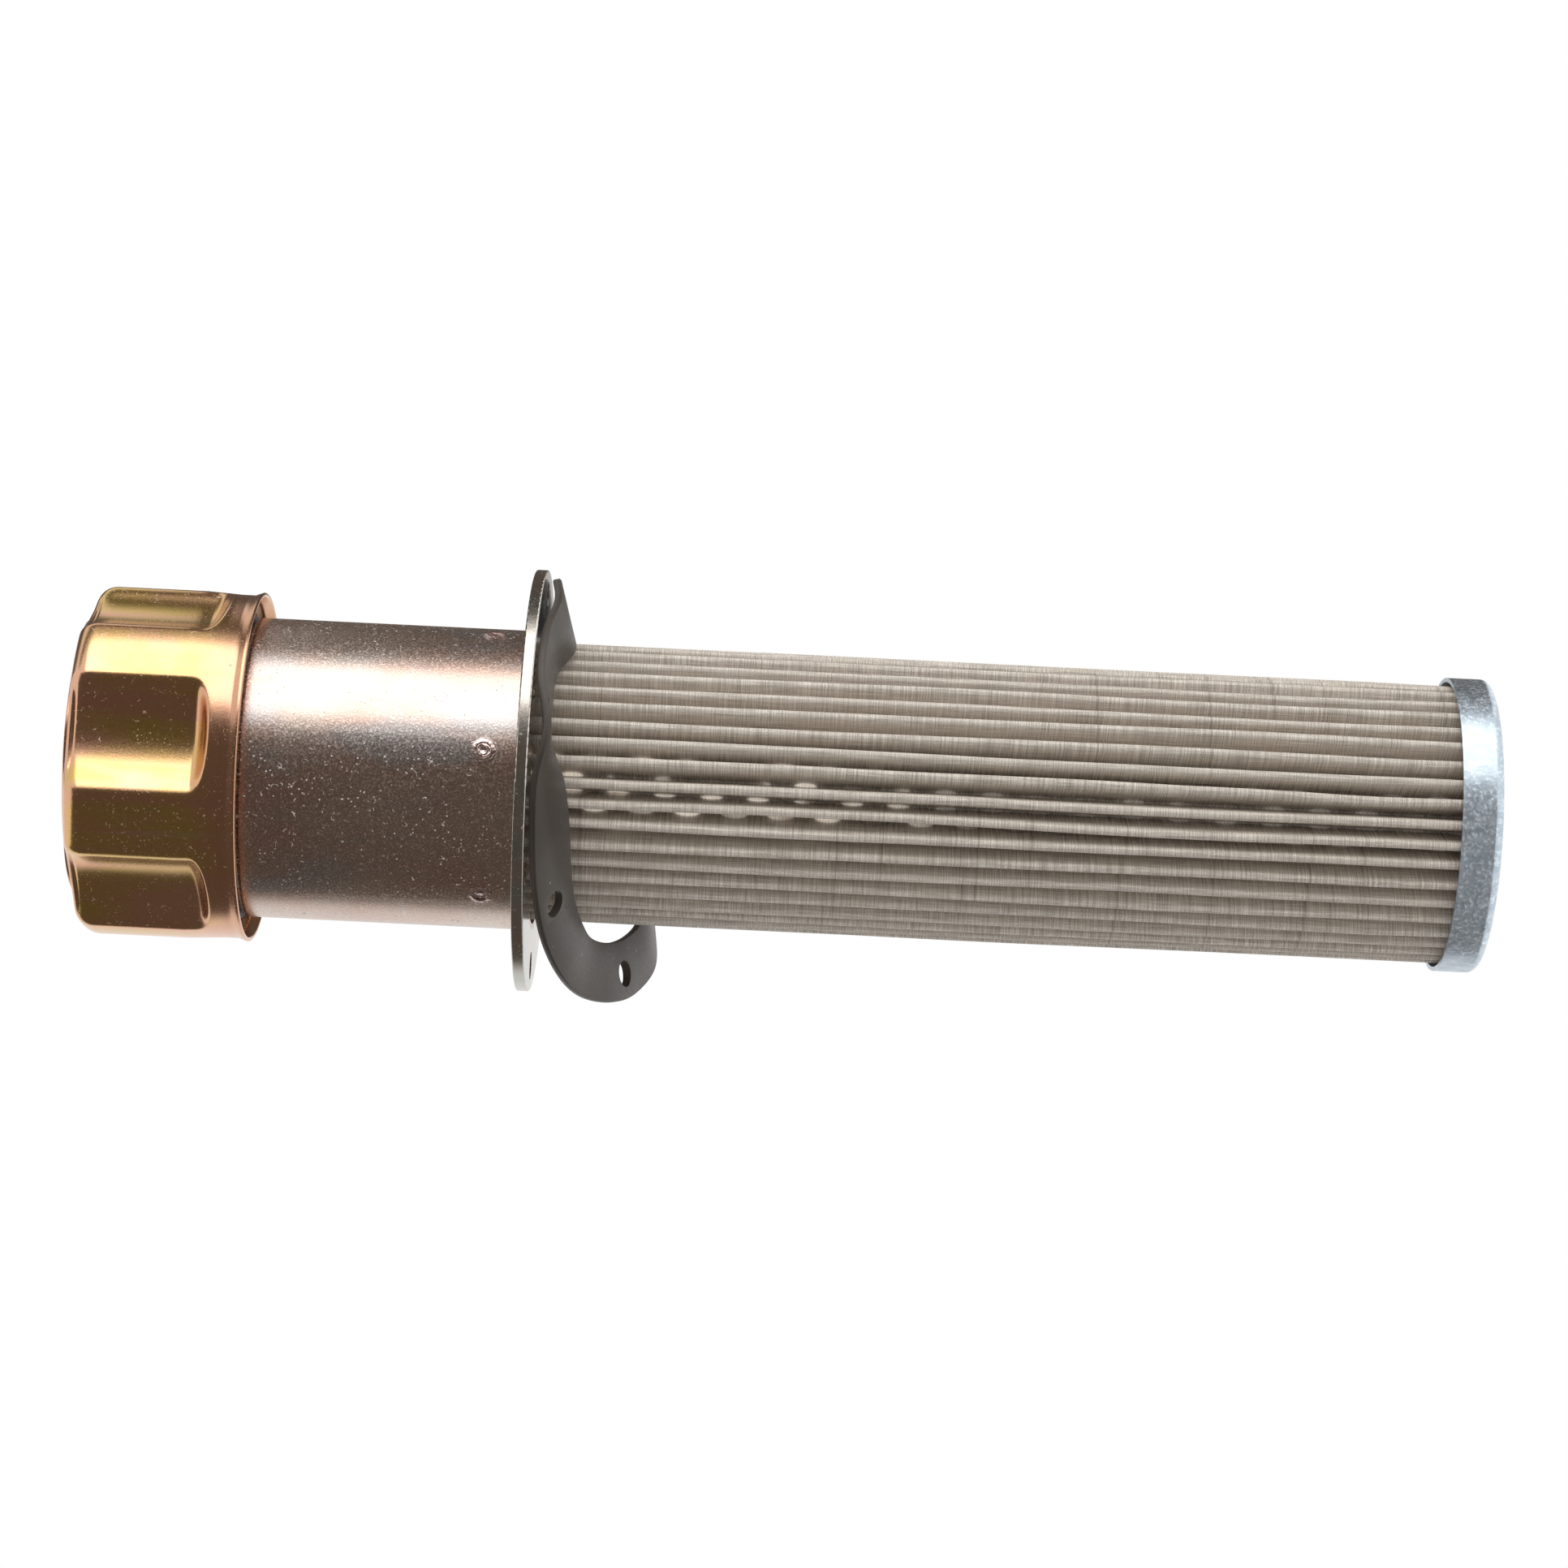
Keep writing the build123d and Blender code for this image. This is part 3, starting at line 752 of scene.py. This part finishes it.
def zinc(name, tints, bump_strength=0.15, **values):
    """Plated steel in three tints, with the plating group's other values by name."""
    made, tree, shader = blank(name)
    plating = placed_group(tree, plated_zinc)
    for key, tint in zip(TINT_NAMES, tints):
        plating.inputs[key].default_value = (*tint, 1)
    for key, value in values.items():
        plating.inputs[key.replace("_", " ").title()].default_value = value
    tree.links.new(plating.outputs["Color"], shader.inputs["Base Color"])
    tree.links.new(plating.outputs["Metallic"], shader.inputs["Metallic"])
    tree.links.new(plating.outputs["Roughness"], shader.inputs["Roughness"])
    bump(tree, shader, plating.outputs["Height"], bump_strength, PLATING_RELIEF)
    return made, tree, shader, plating


def cap_zinc():
    """Yellow zinc with pink drawn bands, which turns copper at the rim and the crown's edge."""
    made, tree, shader, plating = zinc(
        "yellow_zinc", YELLOW_TINTS, bump_strength=0.12, drift=55.0, speckle=0.15, scratches=0.1,
        dust=0.5, dust_grid=1250.0, smooth=0.17, rough=0.24,
    )
    z = object_axes(tree)[2]
    rim = map_range(tree, z, cap_low.z + COPPER_RIM[0], cap_low.z + COPPER_RIM[1], 0, 0.75)
    crown = map_range(tree, z, cap_high.z - COPPER_CROWN[0], cap_high.z - COPPER_CROWN[1], 0, 0.8)
    copper = math_node(tree, "MAXIMUM", rim, crown)
    drawn = noise_value(tree, object_place(tree), 170.0, 2.0, 0.5, (1, 1, 0.05))
    pink = map_range(tree, drawn, 0.50, 0.62, 0, 0.6)
    tinted = mix_colour(tree, pink, plating.outputs["Color"], PINK)
    tinted = mix_colour(tree, copper, tinted, COPPER)
    tree.links.new(tinted, shader.inputs["Base Color"])
    return made


def neck_zinc():
    """Dusty brown zinc with the burnt and ringed weld marks on it."""
    made, tree, shader, plating = zinc(
        "brown_zinc", BROWN_TINTS, bump_strength=0.3, drift=40.0, speckle=0.7, scratches=0.12,
        dust=1.0, dust_grid=880.0, smooth=0.24, rough=0.36,
    )
    marks = placed_group(tree, weld_marks)
    tinted = mix_colour(tree, marks.outputs["Mark"], plating.outputs["Color"], WELD_PINK)
    tree.links.new(tinted, shader.inputs["Base Color"])
    below = shader.inputs["Normal"].links[0].from_socket
    bump(tree, shader, marks.outputs["Height"], 0.7, MARK_RELIEF, below)
    return made


def flange_zinc():
    return zinc(
        "flange_zinc", FLANGE_TINTS, bump_strength=0.12, drift=70.0, speckle=0.12, scratches=0.4,
        dust=0.3, smooth=0.16, rough=0.26,
    )[0]


def end_zinc():
    return zinc(
        "silver_zinc", SILVER_TINTS, bump_strength=0.3, drift=260.0, speckle=0.45, speckle_size=1400.0,
        scratches=0.35, dust=0.06, smooth=0.29, rough=0.42,
    )[0]


def core_zinc():
    return zinc("core_zinc", INNER_TINTS, drift=90.0, speckle=0.2, smooth=0.3, rough=0.45)[0]


def wire_cloth():
    """Woven wire: threads both ways along its own map, with painted glints glowing over the core's holes
    and painted dark rings round them.
    """
    made, tree, shader = blank("wire_cloth", metallic=0.0, emission_strength=1.0)
    cloth_map = tree.nodes.new("ShaderNodeUVMap")
    cloth_map.uv_map = "cloth"
    uv = cloth_map.outputs[0]
    long_threads = noise_value(tree, uv, 1.0, 1.0, 0.5, LONG_THREADS)
    cross_threads = noise_value(tree, uv, 1.0, 1.0, 0.5, CROSS_THREADS)
    knots = noise_value(tree, uv, 5.0, 1.0, 0.5)
    patches = noise_value(tree, uv, 0.06, 2.0, 0.5)
    creases = noise_value(tree, uv, 1.0, 0.0, 0.5, CREASES)
    weave = math_node(tree, "MULTIPLY", long_threads, 0.3)
    weave = math_node(tree, "ADD", weave, math_node(tree, "MULTIPLY", cross_threads, 0.42))
    weave = math_node(tree, "ADD", weave, math_node(tree, "MULTIPLY", knots, 0.28))
    holes = placed_group(tree, core_holes)
    # Painted shade: a dark ring on the cloth where each core hole's edge lies under it
    rim = math_node(tree, "MULTIPLY", holes.outputs["Rim"], 0.4)
    colour = mix_colour(tree, map_range(tree, weave, 0.32, 0.68), WIRE_SHADE, WIRE_LIGHT)
    colour = mix_colour(tree, map_range(tree, patches, 0.4, 0.6, 0, 0.25), colour, WIRE_PATCH)
    colour = mix_colour(tree, map_range(tree, creases, 0.74, 0.79, 0, 0.4), colour, WIRE_CREASE)
    colour = mix_colour(tree, rim, colour, PAINTED_HOLE_RIM_SHADE)
    tree.links.new(colour, shader.inputs["Base Color"])
    # Painted glints: the cloth glows over some of the core's holes, less with distance from the flange
    some = map_range(tree, noise_value(tree, uv, 0.05, 1.0), 0.46, 0.56)
    near = map_range(tree, object_axes(tree)[2], GLOW_END_Z, GLOW_FULL_Z, GLOW_LEAST, 1.0)
    through = math_node(tree, "MULTIPLY", math_node(tree, "MULTIPLY", holes.outputs["Hole"], some), near)
    tree.links.new(mix_colour(tree, through, (0, 0, 0), PAINTED_HOLE_GLINT), shader.inputs["Emission Color"])
    tree.links.new(map_range(tree, weave, 0.3, 0.7, 0.55, 0.42), shader.inputs["Roughness"])
    tree.links.new(map_range(tree, weave, 0.36, 0.60, 0.70, 0.97), shader.inputs["Alpha"])
    bump(tree, shader, weave, 0.5, WEAVE_RELIEF)
    return made


def gasket_rubber():
    """Dark rubber with cork in it, a little dusty."""
    made, tree, shader = blank("gasket_rubber", specular_ior_level=0.42, sheen_weight=0.12)
    place = object_place(tree)
    grain = noise_value(tree, place, 1800.0, 3.0, 0.6)
    cloud = map_range(tree, noise_value(tree, place, 60.0, 3.0, 0.5), 0.35, 0.65)
    spot = map_range(tree, cell_distance(tree, place, 330.0), 0.11, 0.05)
    chosen = map_range(tree, noise_value(tree, place, 150.0, 1.0), 0.54, 0.6, 0, 0.5)
    dust = math_node(tree, "MULTIPLY", spot, chosen)
    colour = mix_colour(tree, cloud, RUBBER_DARK, RUBBER_LIGHT)
    tree.links.new(mix_colour(tree, dust, colour, RUBBER_DUST), shader.inputs["Base Color"])
    tree.links.new(map_range(tree, grain, 0.3, 0.7, 0.36, 0.50), shader.inputs["Roughness"])
    bump(tree, shader, grain, 0.2, RUBBER_RELIEF)
    return made


def dark_seal():
    made, tree, shader = blank("seal_rubber")
    grain = noise_value(tree, object_place(tree), 900.0, 3.0)
    tree.links.new(mix_colour(tree, grain, SEAL_DARK, SEAL_LIGHT), shader.inputs["Base Color"])
    tree.links.new(map_range(tree, grain, 0.3, 0.7, 0.5, 0.7), shader.inputs["Roughness"])
    bump(tree, shader, grain, 0.2, SEAL_RELIEF)
    return made


def breather_foam():
    made, tree, shader = blank("breather_foam", roughness=0.95)
    cells = cell_distance(tree, object_place(tree), 900.0)
    tree.links.new(mix_colour(tree, cells, FOAM_DARK, FOAM_LIGHT), shader.inputs["Base Color"])
    bump(tree, shader, cells, 0.8, FOAM_RELIEF)
    return made


def finish_node(name, made):
    """Gives a piece of the frame its material."""
    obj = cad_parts[name]
    obj.data.materials.clear()
    obj.data.materials.append(made)


def put_on(obj, made, body, slot, *nodes):
    """Gives a new piece its material and the body it moves with, and hides the frame's pieces that it
    stands for.
    """
    obj.data.materials.clear()
    obj.data.materials.append(made)
    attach(obj, body)
    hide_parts(*nodes)


def photo_camera():
    """The photograph's view: looking along +Y with the axis lying across the frame."""
    data = bpy.data.cameras.new("photo_camera")
    data.sensor_width = SENSOR
    data.lens = SENSOR * CAMERA_REACH / (PHOTO_PX / PX_PER_MM * MM)
    data.clip_start = CLIP_NEAR
    data.clip_end = CLIP_FAR
    cam = bpy.data.objects.new("photo_camera", data)
    right = Vector((math.sin(CAMERA_ROLL), 0, -math.cos(CAMERA_ROLL)))
    up = Vector((math.cos(CAMERA_ROLL), 0, math.sin(CAMERA_ROLL)))
    back = Vector((0, -1, 0))
    cam.matrix_world = Matrix((
        (right.x, up.x, back.x, CENTRE_X),
        (right.y, up.y, back.y, -CAMERA_REACH),
        (right.z, up.z, back.z, CENTRE_Z),
        (0, 0, 0, 1),
    ))
    bpy.context.scene.collection.objects.link(cam)
    bpy.context.scene.camera = cam


def seen_directly(tree):
    """Mask of the rays that show the background: the camera's, and those off metal or through glass."""
    path = tree.nodes.new("ShaderNodeLightPath")
    shown = math_node(tree, "MAXIMUM", path.outputs["Is Camera Ray"], path.outputs["Is Glossy Ray"])
    return math_node(tree, "MAXIMUM", shown, path.outputs["Is Transmission Ray"])


def white_room():
    """World that looks white, and lights the object at a plain level."""
    world = bpy.data.worlds.new("studio")
    bpy.context.scene.world = world
    world.use_nodes = True
    world.cycles.sampling_method = "NONE"
    tree = world.node_tree
    shade = tree.nodes["Background"]
    shade.inputs["Strength"].default_value = 1.0
    colour = mix_colour(tree, seen_directly(tree), (AMBIENT, AMBIENT, AMBIENT), (1, 1, 1))
    tree.links.new(colour, shade.inputs["Color"])


def softbox():
    """Large lamp between the front and the photograph's upper side, turned to the axis."""
    data = bpy.data.lights.new("softbox", "AREA")
    data.shape = "RECTANGLE"
    data.size = SOFTBOX_W
    data.size_y = SOFTBOX_H
    data.energy = SOFTBOX_POWER
    lamp = bpy.data.objects.new("softbox", data)
    lamp.location = from_front(SOFTBOX_ANGLE, SOFTBOX_REACH, CENTRE_Z)
    aim = Vector((0, 0, CENTRE_Z)) - lamp.location
    lamp.rotation_mode = "QUATERNION"
    lamp.rotation_quaternion = aim.to_track_quat("-Z", "Y")
    bpy.context.scene.collection.objects.link(lamp)


def screen(name, angles, reach, low, glow):
    """Screen bent round the object, soft at both ends, which only the reflections on it meet."""
    first = angles[0] - SCREEN_FADE / 2
    last = angles[1] + SCREEN_FADE / 2
    bm = bmesh.new()
    ends = [bm.verts.new(from_front(first, reach, CENTRE_Z + z)) for z in (low, SCREEN_HALF_H)]
    edge = bm.edges.new(ends)
    bmesh.ops.spin(
        bm, geom=ends + [edge], cent=(0, 0, 0), axis=(0, 0, 1), angle=math.radians(last - first),
        steps=SCREEN_STEPS,
    )
    card = make_object(name, bm)
    made, tree, shader = blank(
        name, base_color=(0, 0, 0, 1), roughness=1.0, emission_color=(*glow, 1), emission_strength=1.0
    )
    x, y, z = object_axes(tree)
    turn = math_node(tree, "ARCTAN2", x, math_node(tree, "MULTIPLY", y, -1.0))
    rise = map_range(tree, turn, math.radians(first), math.radians(first + SCREEN_FADE))
    fall = map_range(tree, turn, math.radians(last), math.radians(last - SCREEN_FADE))
    tree.links.new(math_node(tree, "MINIMUM", rise, fall), shader.inputs["Alpha"])
    card.data.materials.append(made)
    card.visible_camera = False
    card.visible_diffuse = False
    card.visible_shadow = False


def pale_floor():
    """Pale floor below the strainer, bright enough to be white outside the object's shadow."""
    bm = bmesh.new()
    bmesh.ops.create_circle(bm, cap_ends=True, segments=96, radius=FLOOR_R)
    bmesh.ops.translate(bm, verts=bm.verts, vec=(0, 0, end_low.z - FLOOR_DROP))
    floor = make_object("pale_floor", bm, smooth=False)
    made, tree, shader = blank(
        "pale_floor", base_color=(0.9, 0.9, 0.9, 1), roughness=0.9, emission_color=(1, 1, 1, 1)
    )
    lift = math_node(tree, "MULTIPLY", seen_directly(tree), FLOOR_LIFT)
    tree.links.new(lift, shader.inputs["Emission Strength"])
    floor.data.materials.append(made)


photo_camera()
white_room()
softbox()
screen("front_screen", FRONT_SCREEN, SCREEN_REACH, -SCREEN_HALF_H, SCREEN_GLOW)
screen("back_screen", BACK_SCREEN, SCREEN_REACH, -SCREEN_HALF_H, SCREEN_GLOW)
screen("cap_glow", CAP_GLOW, CAP_GLOW_REACH, CAP_GLOW_Z - CENTRE_Z, (1, 1, 1))
pale_floor()
bpy.context.scene.view_settings.view_transform = "Standard"

plated_zinc = plated_zinc_group()
weld_marks = weld_mark_group()
core_holes = core_hole_group()
inner_steel = core_zinc()

put_on(pressed_cap(), cap_zinc(), "cap", "cap_zinc", "cap_shell")
finish_node("filler_neck", neck_zinc())
finish_node("mounting_flange", flange_zinc())
finish_node("end_cap", end_zinc())
put_on(pleated_cloth(), wire_cloth(), "root", "wire_cloth", "pleated_mesh")
put_on(perforated_tube(), inner_steel, "root", "core_steel", "perforated_core")
put_on(twisted_gasket(), gasket_rubber(), "root", "gasket_rubber", "flange_gasket")
finish_node("cap_seal", dark_seal())
finish_node("breather_foam", breather_foam())
for name in (
    "cap_base_plate", "plate_spacer", "bayonet_plate", "cap_spring", "cap_stud",
    "strainer_top_ring", "mesh_seam_clip",
):
    finish_node(name, inner_steel)
